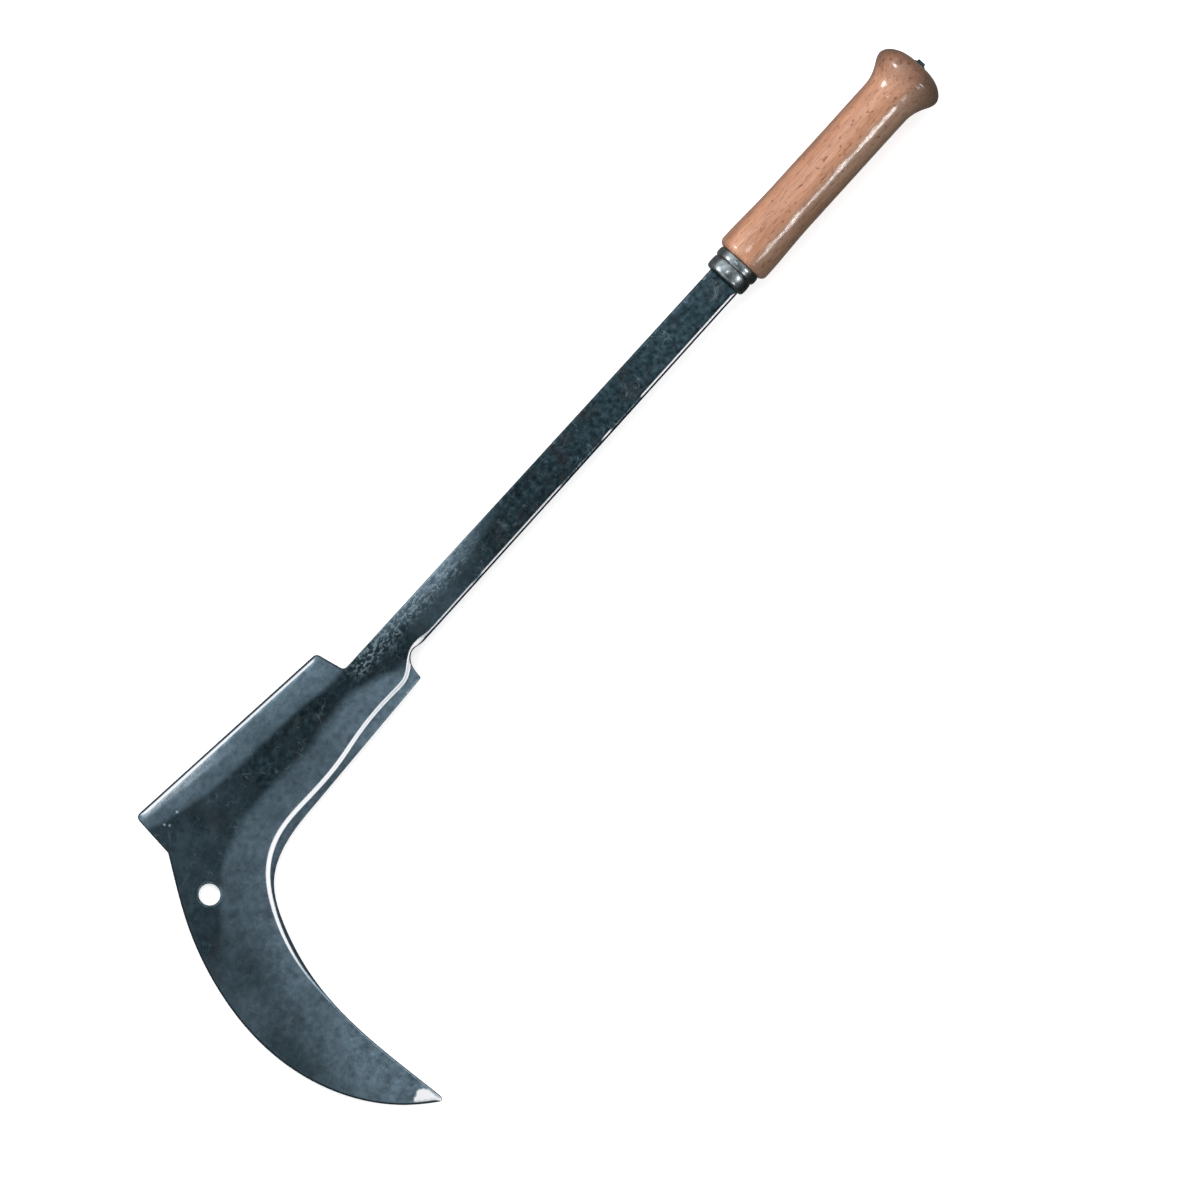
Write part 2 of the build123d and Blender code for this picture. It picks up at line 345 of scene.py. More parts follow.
# ---- the forging's thickness -------------------------------------------------------------------
# The ridge: top of the step that leads down to the ground land beside the cutting edge. It leaves
# the shank's side, runs along the blade and comes out on the edge in the crook. Each row has x, y,
# half thickness above the step, half thickness of the land below it, reach of the slope that leads
# up to the crown, and width of the step.
RIDGE = (
    (425.0, 14.0, 3.5, 3.5, 3.0, 3.0),
    (450.0, 12.0, 3.4, 3.0, 3.0, 3.0),
    (466.0, 10.6, 3.2, 2.2, 4.0, 2.6),
    (475.2, 15.6, 2.9, 1.3, 6.0, 2.5),
    (480.5, 18.8, 2.7, 1.05, 8.0, 2.4),
    (492.0, 19.8, 2.5, 1.0, 14.0, 2.4),
    (510.0, 19.6, 2.3, 0.95, 20.0, 2.4),
    (530.0, 21.4, 2.1, 0.9, 21.0, 2.5),
    (546.0, 23.6, 2.0, 0.9, 21.0, 2.8),
    (576.0, 24.3, 1.8, 0.85, 22.0, 2.9),
    (600.0, 25.4, 1.65, 0.8, 24.0, 2.9),
    (612.0, 29.2, 1.5, 0.75, 26.0, 3.0),
    (624.0, 37.0, 1.35, 0.65, 30.0, 2.8),
    (636.0, 51.5, 1.15, 0.55, 34.0, 2.4),
    (645.2, 68.5, 0.95, 0.45, 38.0, 2.0),
    (651.4, 86.0, 0.75, 0.4, 42.0, 1.5),
    (654.6, 103.0, 0.6, 0.35, 44.0, 1.2),
    (656.2, 125.0, 0.5, 0.3, 44.0, 1.0),
    (656.9, 146.0, 0.45, 0.3, 40.0, 1.0),
    (655.6, 175.0, 0.4, 0.3, 28.0, 1.0),
    (653.6, 204.0, 0.35, 0.3, 10.0, 1.0),
)
# The crown, the rib's flat top: x, half thickness, and the y where the heel's slope begins
CROWN = (
    (440.0, 3.6, -16.0),
    (484.0, 3.4, -14.0),
    (500.0, 3.25, -10.4),
    (520.0, 3.0, -10.8),
    (540.0, 2.75, -14.6),
    (588.0, 2.25, -18.0),
    (612.0, 1.95, -21.0),
    (646.0, 1.6, -30.0),
    (680.0, 1.5, -45.0),
)
HEEL_HALF = 1.1  # half thickness of the heel where its bevel begins
BLADE_X = 450.0  # the shank ends here and the blade's crown begins
HOOK_THINNER = 0.5  # by how much the crown falls towards the point
DENTS = ((633.6, -28.3, 1.2), (642.5, -26.0, 1.1), (644.3, -28.6, 1.1))  # x, y, radius
DENT_DEPTH = 0.14


def ridge_line():
    """The ridge as a dense smooth line with its settings."""
    table = np.array(RIDGE)
    line = smooth_curve(table[:, :2], 0.5, None, CROOK_END)
    along = np.diff(line, axis=0)
    along = np.vstack([along, along[-1:]])
    along /= np.linalg.norm(along, axis=1)[:, None]
    normals = np.stack([along[:, 1], -along[:, 0]], 1)
    length = np.concatenate([[0], np.cumsum(np.linalg.norm(np.diff(line, axis=0), axis=1))])
    knots = [length[np.argmin(np.hypot(*(line - p).T))] for p in table[:, :2]]
    settings = np.stack([np.interp(length, knots, table[:, k]) for k in range(2, 6)], 1)
    return line, normals, settings


def slope_start(t, soft=0.15):
    """0 for t below 0, then bends softly into a straight climb that reaches 1 at t = 1."""
    t = np.clip(t, 0, None)
    return (1 + soft) * t * t / (t + soft)


def heel_lines(x):
    """The y where the heel's slope begins and the y of the heel's edge, at places along the tool."""
    crown_table = np.array(CROWN)
    slope_y = np.interp(x, crown_table[:, 0], crown_table[:, 2])
    heel_y = np.interp(x, (HEEL_FRONT[0], HEEL_REAR[0]), (HEEL_FRONT[1], HEEL_REAR[1]))
    return slope_y, heel_y


def half_thickness(places, near_ridge, near_edge):
    """Half the forging's thickness away from its outline, at each place."""
    x, y = places.T
    crown_table = np.array(CROWN)
    crown = np.interp(x, crown_table[:, 0], crown_table[:, 1])
    shank = np.interp(x, [SHANK_REAR[0], SHANK_FRONT[0]], [SHANK_REAR[2], SHANK_FRONT[2]])
    crown = np.where(x < BLADE_X, shank, np.minimum(crown, shank))
    crown = crown - HOOK_THINNER * ease(y, 150, 205)
    slope_y, heel_y = heel_lines(x)
    fall = slope_start((slope_y - y) / np.maximum(slope_y - heel_y, 6.0))
    body = crown + (HEEL_HALF - crown) * np.clip(fall, 0, 1.1)

    # down the slope to the ridge, then down its step to the ground land
    distance, _, index = near_ridge(places)
    top, land, reach, step = near_ridge.settings[index].T
    climb = slope_start(1 - distance / reach)
    body = body + (np.minimum(top, body) - body) * np.clip(climb, 0, 1)
    ground = land * (0.62 + 0.38 * ease(near_edge(places)[0], 0.5, 7.0))
    half = ground + (body - ground) * ease(distance, -step / 2, step / 2)

    tang = np.interp(x, (PEEN_LENGTH, SHANK_REAR[0]), (TANG_END[1], TANG_ROOT[1]))
    half = np.where(x < SHANK_REAR[0], tang, half - DENT_DEPTH * dents(places))
    return np.where(x < PEEN_LENGTH, PEEN_HALF, half)


def dents(places):
    """Where the few dents are: 1 in the middle of each, 0 away from them."""
    depth = np.zeros(len(places))
    for x, y, radius in DENTS:
        depth = np.maximum(depth, np.exp(-(((places - (x, y)) / radius) ** 2).sum(1) * 1.5))
    return depth


def relief(places, seed):
    """How far hammering and grinding leave the surface off its true shape."""
    x = places[:, 0]
    forged = ease(x, 177, 200) * (1 - 0.5 * ease(x, 480, 620))
    return (
        0.030 * lumps(places, 26.0, seed)
        + 0.014 * lumps(places, 9.0, seed + 10)
        + 0.012 * forged * lumps(places, 4.5, seed + 20)
    )


# ---- the forging's surface ---------------------------------------------------------------------
# How much forge scale covers each part, from 0, ground clean, to 1. A row adds its amount wherever
# all its stretches hold. A stretch is a measure and the two values between which it sets in, or
# fades out if they run backwards. The measures are x and y; "ridge" and "edge", the distances from
# the ridge and the cutting edge; "crown", the distance past the slope that leads up to the crown;
# "slope", how far y is above the start of the heel's slope; and "heel", how far it is above the
# heel's edge, a little more than that towards the hook.
BAND = (("heel", 7.0, 4.7), ("x", 560.0, 620.0))  # the bright band along the heel's bevel
SCALE_BLADE = ((0.01,), (0.24, ("x", 520.0, 552.0)))
SCALE_HOOK = (
    (0.20,),
    (0.48, ("ridge", 2.0, 26.0)),
    (-0.14, ("y", 60.0, 95.0)),
    (-0.36, ("y", 115.0, 160.0)),
    (0.32, ("ridge", 24.0, 38.0), ("y", 95.0, 125.0), ("y", 180.0, 150.0)),
)
SCALE_HEEL = (
    (0.42,),
    (0.12, ("slope", -14.0, -3.0)),
    (0.46, ("slope", -3.0, 1.5)),
    (-0.16, ("x", 570.0, 630.0)),
    (-0.42, *BAND),
)
SCALE_SHANK = (
    (1.10,),
    (-0.36, ("x", 375.0, 415.0), ("x", 470.0, 445.0)),
    (-0.54, ("y", -1.0, -8.0), ("x", 340.0, 420.0)),
)
SCALE_LAND = (
    (0.30, ("x", 515.0, 545.0)),
    (0.38, ("edge", 2.2, 0.7)),
    (0.18, ("ridge", -3.0, -1.4)),
)
SCALE_TO_CROWN = 0.15  # how much the blade's scale grows from the ridge to the crown
# Where one part gives way to the next
IS_BLADE = ((1.0, ("x", 470.0, 486.0)),)
IS_HOOK = ((1.0, ("y", 20.0, 60.0)),)
IS_CROWN = ((1.0, ("crown", -6.0, 2.5)),)
IS_LAND = ((1.0, ("ridge", 0.0, -1.2), ("x", 468.0, 478.0)),)
THINNER_SCALE = ((1.0,), (-0.5, ("y", 165.0, 200.0)))
# Where the shank is speckled with light flecks
SPECKLED = ((1.0, ("x", 375.0, 425.0), ("x", 512.0, 492.0), ("y", 4.0, -5.0), ("y", -12.0, -9.5)),)
# Where metal is painted bright: worn and ground steel, painted up into a highlight
BRIGHT_RIDGE = ((1.0, ("x", 440.0, 474.0)), (-0.8, ("x", 440.0, 474.0), ("y", 62.0, 118.0)))
BRIGHT_BAND = ((0.28, *BAND, ("x", 651.0, 648.5), ("y", 60.0, 20.0)),)
# painted glints in the dents
BRIGHT_DENTS = 0.48
# Painted highlight along the shank's rounded corner, in stretches: from x, to x, how bright; and this
# bright in between
SHANK_HIGHLIGHT = ((174, 262, 0.66), (288, 297, 0.66), (334, 404, 0.56), (412, 480, 0.46))
SHANK_HIGHLIGHT_BETWEEN = 0.15
SHANK_HIGHLIGHT_END_X = 470.0
# The bright spot on the point, ground steel painted up into a highlight, with a nick in its border
TIP_CENTRE_X, TIP_START_Y = 661.0, 190.6
TIP_NOTCH, TIP_NOTCH_RADIUS = (667.0, 192.4), 1.3


def amounts(rows, measures):
    """Adds up a table's rows: each one's amount times its stretches."""
    total = 0.0
    for amount, *stretches in rows:
        for measure, low, high in stretches:
            amount = amount * ease(measures[measure], low, high)
        total = total + amount
    return total


def blend(a, b, share):
    return a * (1 - share) + b * share


def scale_cover(measures, share):
    """How much forge scale there is; share runs from 0 at the ridge to 1 at the crown."""
    on_blade = amounts(SCALE_BLADE, measures) + SCALE_TO_CROWN * share
    on_blade = blend(on_blade, 1.0, amounts(IS_CROWN, measures))
    scale = blend(on_blade, amounts(SCALE_HOOK, measures), amounts(IS_HOOK, measures))
    scale = np.minimum(scale, amounts(SCALE_HEEL, measures))
    scale = blend(amounts(SCALE_SHANK, measures), scale, amounts(IS_BLADE, measures))
    scale = scale * amounts(THINNER_SCALE, measures)
    return blend(scale, amounts(SCALE_LAND, measures), amounts(IS_LAND, measures))


def shank_corner_highlight(x):
    """How bright the painted highlight on the shank's corner is along the tool, with ragged ends of
    about 3 mm.
    """
    along = x + 3.0 * lumps(np.stack([x, 0 * x], 1), 7.0, 5.5)
    corner_highlight = np.full(len(x), SHANK_HIGHLIGHT_BETWEEN)
    for start, stop, strength in SHANK_HIGHLIGHT:
        inside = ease(along, start - 3, start + 3) * ease(along, stop + 3, stop - 3)
        corner_highlight = np.maximum(corner_highlight, strength * inside)
    return np.where(x < SHANK_HIGHLIGHT_END_X, corner_highlight, 1.0)


def bright_tip(places, edge_distance):
    """The ground spot on the point, painted bright as a highlight."""
    x, y = places.T
    ragged = 1.3 * lumps(places, 5.0, 8.3) + 0.8 * lumps(places, 2.0, 4.1)
    notch = np.exp(-(((places - TIP_NOTCH) / TIP_NOTCH_RADIUS) ** 2).sum(1))
    tip = ease(y - TIP_START_Y - 0.5 * np.abs(x - TIP_CENTRE_X) + ragged, -0.8, 2.2)
    return tip * (0.30 + 0.70 * ease(edge_distance, 0.6, 3.4)) * (1 - notch)


def surface_masks(places, near_ridge, near_edge, depth, edges):
    """Where the forging is dark with scale, bright with wear and painted highlights, or painted dark
    along its narrow sides as shade. Depth is the distance into the edge strip; edges has its width,
    its brightness and the width of its painted shade."""
    x, y = places.T
    distance, _, index = near_ridge(places)
    _, _, reach, step = near_ridge.settings[index].T
    edge_distance = np.abs(near_edge(places)[0])
    slope_y, heel_y = heel_lines(x)
    measures = {"x": x, "y": y, "ridge": distance, "edge": edge_distance, "crown": distance - reach}
    measures["slope"] = y - slope_y
    measures["heel"] = y - heel_y + 0.07 * (x - 640)
    scale = scale_cover(measures, np.clip(distance / reach, 0, 1))

    width, strength, edge_shade_width = edges.T
    low, high = -step / 2, step / 2
    ridge = ease(distance, low - 0.1, low + 0.5) * ease(distance, high + 0.4, high - 0.6)
    strip = ease(depth, edge_shade_width * 0.8, edge_shade_width) * ease(depth, width + 0.1, width - 0.6)
    bright = np.maximum(ridge * amounts(BRIGHT_RIDGE, measures), strip * strength * shank_corner_highlight(x))
    bright = np.maximum(bright, bright_tip(places, edge_distance))
    bright = np.maximum(bright, BRIGHT_DENTS * dents(places))
    bright = bright + amounts(BRIGHT_BAND, measures)
    # painted shade: a dark rim on the narrow sides, where the edges turn away from the light
    rim = ease(depth, edge_shade_width, edge_shade_width * 0.45)
    speckled = amounts(SPECKLED, measures)
    return {"scale": scale, "bright": bright * (1 - rim), "rim": rim, "mottle": speckled}


# ---- the forging's mesh ------------------------------------------------------------------------
ROW_SHARES = (0.0, 0.035, 0.13, 0.29, 0.5, 0.75, 1.0)  # of the edge strip's width
HOLE_POINTS = 64
DENT_REACH = 2.0  # the mesh is finer this far around a dent
DENT_STEP = 0.45
DENT_FIELD = ((628.0, 650.0), (-34.0, -20.0))  # x and y that hold all the dents
RIDGE_REACH = 2.0  # the mesh follows the ridge this far on each side of it


def edge_profile(share, roundness):
    """Share of the edge's height that is regained at a share of its width."""
    share = np.clip(share, 0, 1)
    return roundness * np.sqrt(1 - (1 - share) ** 2) + (1 - roundness) * share


def hole_loop():
    """The hanging hole's rim, with normals into the metal."""
    angle = np.linspace(0, 2 * math.pi, HOLE_POINTS, endpoint=False)
    spokes = np.stack([np.cos(angle), np.sin(angle)], 1)
    settings = np.tile(HOLE_EDGE, (len(angle), 1))
    return np.array(HOLE_CENTRE) + spokes * HOLE_RADIUS, spokes, settings


def triangular_grid(columns, rows, step):
    """Places in rows, every other row shifted by half a step."""
    x, y = np.meshgrid(columns, rows)
    x = x + (np.arange(len(rows)) % 2)[:, None] * step / 2
    return np.stack([x.ravel(), y.ravel()], 1)


def grid_places(near_outline, near_ridge, widths):
    """An even triangular grid inside the outline, clear of the edges, the hole and the ridge."""
    rows = np.arange(-46, 208, GRID_STEP * math.sqrt(3) / 2)
    places = triangular_grid(np.arange(0, 704, GRID_STEP), rows, GRID_STEP)
    keep = np.ones(len(places), bool)
    for x, y, _ in DENTS:
        keep &= np.hypot(*(places - (x, y)).T) > DENT_REACH + 0.4
    places = places[keep]
    even = len(places)
    places = np.vstack([places, dent_places(), ridge_rows(near_ridge)])
    is_fine = np.arange(len(places)) >= even
    _, side, index = near_outline(places)
    keep = side > widths[index] + np.where(is_fine, 0.35, 0.75)
    keep &= np.hypot(*(places - HOLE_CENTRE).T) > HOLE_RADIUS + 1.7
    places, is_fine = places[keep], is_fine[keep]
    distance, _, _ = near_ridge(places)
    return places[is_fine | (np.abs(distance) > RIDGE_REACH + 0.6)]


def dent_places():
    """A fine grid of places over the dents."""
    columns = np.arange(*DENT_FIELD[0], DENT_STEP)
    rows = np.arange(*DENT_FIELD[1], DENT_STEP * 0.87)
    places = triangular_grid(columns, rows, DENT_STEP)
    near = [np.hypot(*(places - (x, y)).T) < DENT_REACH for x, y, _ in DENTS]
    return places[np.any(near, 0)]


def ridge_rows(near_ridge):
    """Rows of places beside the ridge, so that the mesh follows its step."""
    line, normals = near_ridge.points[::2], near_ridge.normals[::2]
    offsets = np.linspace(-RIDGE_REACH, RIDGE_REACH, 9)
    return np.vstack([line + normals * offset for offset in offsets])


def edge_rows(points, normals, settings):
    """Rows of places from a loop into the metal: x, y, share of the edge's width, edge settings."""
    rows = []
    for share in ROW_SHARES:
        places = points + normals * settings[:, :1] * share
        rows.append(np.column_stack([places, np.full(len(points), share), settings]))
    return np.vstack(rows)


def side_faces(places, loop_sizes):
    """Faces of one side: strips between each loop's rows, and triangles inside the last rows."""
    faces, inner, first = [], [], 0
    for count in loop_sizes:
        for row in range(len(ROW_SHARES) - 1):
            a = first + row * count
            b = a + count
            for i in range(count):
                j = (i + 1) % count
                faces.append((b + i, b + j, a + j, a + i))
        inner.append(np.arange(count) + first + (len(ROW_SHARES) - 1) * count)
        first += len(ROW_SHARES) * count

    used = np.concatenate(inner + [np.arange(first, len(places))])
    borders, start = [], 0
    for count in loop_sizes:
        borders += [(start + i, start + (i + 1) % count) for i in range(count)]
        start += count
    flat = [Vector(p) for p in places[used].tolist()]
    _, _, triangles, origin, _, _ = geometry.delaunay_2d_cdt(flat, borders, [], 1, 1e-6)
    hole_ring = set(inner[1].tolist())
    for triangle in triangles:
        corners = [used[origin[k][0]] for k in triangle]
        if not hole_ring.issuperset(corners):
            faces.append(tuple(corners))
    return faces


def wall_faces(loop_sizes, count):
    """Faces that join the two sides along each loop; count is how many places one side has."""
    walls, first = [], 0
    for size in loop_sizes:
        for i in range(first, first + size):
            j = first + (i + 1 - first) % size
            walls.append((i, j, j + count, i + count))
        first += len(ROW_SHARES) * size
    return walls


def forged_head():
    """The whole forging as one closed mesh, both faces alike but for their unevenness."""
    loops = [closed_loop(forging_outline()), hole_loop()]
    outline, outline_normals, outline_settings = loops[0]
    near_outline = Nearest(outline, outline_normals)
    near_ridge = Nearest(*ridge_line())
    cutting = resample(np.vstack([STRAIGHT_EDGE, crook_curve(0.5)]), 0.5)
    near_edge = Nearest(cutting, np.zeros_like(cutting))

    grid = grid_places(near_outline, near_ridge, outline_settings[:, 0])
    inside = np.column_stack([grid, np.tile((1.0, *INNER_EDGE), (len(grid), 1))])
    table = np.vstack([edge_rows(*loop) for loop in loops] + [inside])
    places, share = table[:, :2], table[:, 2]
    width, drop, roundness, brightness, edge_shade_width = table[:, 3:].T

    full = half_thickness(places, near_ridge, near_edge)
    rim = np.maximum(full - drop, np.minimum(THINNEST, full))
    profile = edge_profile(share, roundness)
    both = []
    for way, seed in ((1, 3.1), (-1, 57.7)):
        rough = relief(places, seed) * np.clip(share, 0.0, 1.0)
        height = np.maximum(full + rough, THINNEST)
        both.append(np.column_stack([places, way * (rim + (height - rim) * profile)]))

    sizes, count = [len(points) for points, _, _ in loops], len(places)
    faces = side_faces(places, sizes)
    faces += [tuple(k + count for k in face[::-1]) for face in faces]
    faces += wall_faces(sizes, count)
    edges = np.stack([width, brightness, edge_shade_width], 1)
    masks = surface_masks(places, near_ridge, near_edge, share * width, edges)
    masks = {key: np.tile(numbers, 2) for key, numbers in masks.items()}
    piece = make_piece("forged_blade", np.vstack(both), faces, masks)
    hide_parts("forged_head")
    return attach(piece, "root")


# ---- turned pieces -----------------------------------------------------------------------------
WOBBLE_LENGTH = 40.0
BAND_START_X, CAP_START_X = WOOD_FRONT_X + FIT_GAP, BAND_FRONT_X + FIT_GAP
NECK_FRONT_X = CAP_FRONT_X - CAP_FRONT_WALL


def ring_of_places(x, radius, cos, sin):
    return np.column_stack([np.full(len(cos), x), radius * cos, radius * sin])


def turned(name, profile, bore, segments=144, wobble=0.0):
    """A turned piece: profile is its outside, (x, radius) from the butt on; bore is the hole's
    wall, (x, half width, half height) with half height None for a round hole. Wobble is how far
    the outside is out of round."""
    angle = np.linspace(0, 2 * math.pi, segments, endpoint=False)
    cos, sin = np.cos(angle), np.sin(angle)
    points, side = [], []
    for x, radius in profile:
        waves = [noise.noise(Vector((x / WOBBLE_LENGTH, 1.3 * c, 1.3 * s))) for c, s in zip(cos, sin)]
        points.append(ring_of_places(x, radius + wobble * np.array(waves), cos, sin))
        side.append(cos)
    for x, wide, high in bore:
        radius = wide if high is None else 1 / np.maximum(np.abs(cos) / wide, np.abs(sin) / high)
        points.append(ring_of_places(x, radius, cos, sin))
        side.append(0 * cos)
    faces = []
    for k in range(len(points)):
        a, b = k * segments, (k + 1) % len(points) * segments
        for i in range(segments):
            j = (i + 1) % segments
            faces.append((a + i, b + i, b + j, a + j))
    piece = make_piece(name, np.vstack(points), faces, {"side": np.concatenate(side)})
    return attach(piece, "root")


def tang_bore(*places):
    """The square hole for the tang at places along it."""
    sizes = []
    for x in places:
        share = (x - PEEN_LENGTH) / (SHANK_REAR[0] - PEEN_LENGTH)
        wide, high = (e + share * (r - e) + TANG_PLAY for e, r in zip(TANG_END, TANG_ROOT))
        sizes.append((x, wide, high))
    return sizes


def wooden_handle():
    ahead, outward = (1, 0), (0, 1)
    pommel, waist = (POMMEL_X, POMMEL_RADIUS), (NECK_X, GRIP_RADIUS)
    grip_end_x = WOOD_FRONT_X - WOOD_FRONT_ROUND
    grip_end, rim = (grip_end_x, SWELL_RADIUS), (WOOD_FRONT_X, SWELL_RADIUS)
    swell_start = (SWELL_START_X, GRIP_RADIUS)
    dome = smooth_curve([(BUTT_X, WASHER_RADIUS + 0.2), (6.2, 18.3), pommel], 0.6, outward, ahead)
    hollow = smooth_curve([pommel, (20.4, 19.8), waist], 0.6, ahead, ahead)
    grip = straight(waist, swell_start, 2.0)
    swell = smooth_curve([swell_start, grip_end], 2.0, ahead, ahead)
    front = rounded(rim, grip_end, (WOOD_FRONT_X, 10), WOOD_FRONT_ROUND)
    band_seat, cap_seat = BAND_BORE - FIT_GAP, CAP_BORE - FIT_GAP
    neck = [(WOOD_FRONT_X, band_seat), (BAND_FRONT_X, band_seat)]
    neck += [(BAND_FRONT_X, cap_seat), (NECK_FRONT_X, cap_seat)]
    profile = np.vstack([dome, hollow[1:], grip[1:], swell[1:], front[1:], neck])
    piece = turned("varnished_handle", profile, tang_bore(NECK_FRONT_X, 60.0, BUTT_X), 192, 0.12)
    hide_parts("wooden_handle")
    return piece


def crowned_ring(start_x, end_x, radius, crown, corners):
    """Outside of a ring: slightly crowned, with its two corners rounded by so much."""
    middle, half = (start_x + end_x) / 2, (end_x - start_x) / 2
    corner_share = 0.38  # of the ring's half width
    points = []
    for angle in np.linspace(-90, 90, 25):
        way = math.copysign(abs(math.sin(math.radians(angle))) ** 0.75, angle)
        into_corner = max(0.0, (abs(way) - 1 + corner_share) / corner_share)
        rounding = 1 - math.sqrt(max(0.0, 1 - into_corner**2))
        points.append((middle + half * way, radius - crown * way**2 - corners[way > 0] * rounding))
    return points


def rings():
    band = crowned_ring(BAND_START_X, BAND_FRONT_X, BAND_RADIUS, 0.5, (0.6, 0.6))
    bore = [(BAND_FRONT_X, BAND_BORE, None), (BAND_START_X, BAND_BORE, None)]
    piece = turned("steel_band", band, bore)
    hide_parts("ferrule_band")
    cap = crowned_ring(CAP_START_X, CAP_FRONT_X, CAP_RADIUS, 0.45, (0.5, 1.6))
    bore = tang_bore(CAP_FRONT_X, NECK_FRONT_X)
    bore += [(NECK_FRONT_X, CAP_BORE, None), (CAP_START_X, CAP_BORE, None)]
    other = turned("steel_cap", cap, bore)
    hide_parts("ferrule_cap")
    return piece, other


def washer():
    front_x, inner_radius = BUTT_X - FIT_GAP, WASHER_RADIUS - 0.6
    outside = crowned_ring(WASHER_BACK_X, front_x, WASHER_RADIUS, 0.05, (0.25, 0.25))
    outside = [(WASHER_BACK_X, inner_radius)] + outside + [(front_x, inner_radius)]
    piece = turned("butt_washer", outside, tang_bore(front_x, WASHER_BACK_X), 72)
    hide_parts("tang_washer")
    return piece


# ---- materials ---------------------------------------------------------------------------------
class Nodes:
    """Short ways to make and join shader nodes."""

    def __init__(self, name):
        self.material = bpy.data.materials.new(name)
        self.material.use_nodes = True
        self.tree = self.material.node_tree
        self.shader = self.tree.nodes["Principled BSDF"]

    def add(self, kind, **settings):
        node = self.tree.nodes.new(kind)
        for key, value in settings.items():
            setattr(node, key, value)
        return node

    def join(self, source, target):
        self.tree.links.new(source, target)

    def attribute(self, name, output="Fac"):
        return self.add("ShaderNodeAttribute", attribute_name=name).outputs[output]

    def stretch(self, vector, scale):
        node = self.add("ShaderNodeMapping")
        node.inputs["Scale"].default_value = scale
        self.join(vector, node.inputs["Vector"])
        return node.outputs["Vector"]

    def noise(self, vector, scale, detail=3.0, rough=0.55, distortion=0.0):
        node = self.add("ShaderNodeTexNoise")
        node.inputs["Scale"].default_value = scale
        node.inputs["Detail"].default_value = detail
        node.inputs["Roughness"].default_value = rough
        node.inputs["Distortion"].default_value = distortion
        self.join(vector, node.inputs["Vector"])
        return node.outputs["Fac"]

    def ramp(self, value, *stops):
        node = self.add("ShaderNodeValToRGB")
        elements = node.color_ramp.elements
        while len(elements) < len(stops):
            elements.new(0.5)
        for element, (position, colour) in zip(elements, stops):
            element.position = position
            element.color = (*colour, 1) if isinstance(colour, tuple) else (colour, colour, colour, 1)
        self.join(value, node.inputs["Fac"])
        return node.outputs["Color"]

    def math(self, operation, *values):
        node = self.add("ShaderNodeMath", operation=operation)
        for socket, value in zip(node.inputs, values):
            if isinstance(value, (int, float)):
                socket.default_value = value
            else:
                self.join(value, socket)
        return node.outputs[0]

    def add_noise(self, value, field, amount):
        """The value with a noise field's swing about its middle, times an amount, added."""
        return self.math("MULTIPLY_ADD", self.math("SUBTRACT", field, 0.5), amount, value)

    def mix(self, factor, a, b, blend="MIX"):
        node = self.add("ShaderNodeMix", data_type="RGBA", blend_type=blend)
        for socket, value in ((node.inputs[0], factor), (node.inputs[6], a), (node.inputs[7], b)):
            if isinstance(value, tuple):
                socket.default_value = (*value, 1)
            elif isinstance(value, (int, float)):
                socket.default_value = value
            else:
                self.join(value, socket)
        return node.outputs[2]

    def tint(self, colour, by):
        return self.mix(1.0, colour, by, "MULTIPLY")

    def bump(self, height, strength, distance, normal=None):
        node = self.add("ShaderNodeBump")
        if isinstance(strength, float):
            node.inputs["Strength"].default_value = strength
        else:
            self.join(strength, node.inputs["Strength"])
        node.inputs["Distance"].default_value = distance
        self.join(height, node.inputs["Height"])
        if normal is not None:
            self.join(normal, node.inputs["Normal"])
        return node.outputs["Normal"]

    def set(self, **values):
        for key, value in values.items():
            socket = self.shader.inputs[key.replace("_", " ")]
            if isinstance(value, bpy.types.NodeSocket):
                self.join(value, socket)
            else:
                socket.default_value = value


# Colours of the forging: forge scale and ground steel, each where their grain is dark and light
SCALE_DARK = (0.015, 0.030, 0.038)
SCALE_MIDDLE = (0.035, 0.065, 0.082)
SCALE_LIGHT = (0.064, 0.112, 0.138)
GROUND_DARK = (0.19, 0.30, 0.385)
GROUND_LIGHT = (0.36, 0.51, 0.635)
HEAT_TINT = (0.060, 0.056, 0.058)
BARE_FLECK = (0.36, 0.47, 0.54)
# near white: worn steel painted up into a highlight
WEAR_AND_PAINTED_HIGHLIGHT = (0.93, 0.94, 0.965)
# painted shade for the forging's narrow sides
PAINTED_EDGE_SHADE = (0.020, 0.030, 0.040)
BLACK, WHITE = (0.0, 0.0, 0.0), (1.0, 1.0, 1.0)


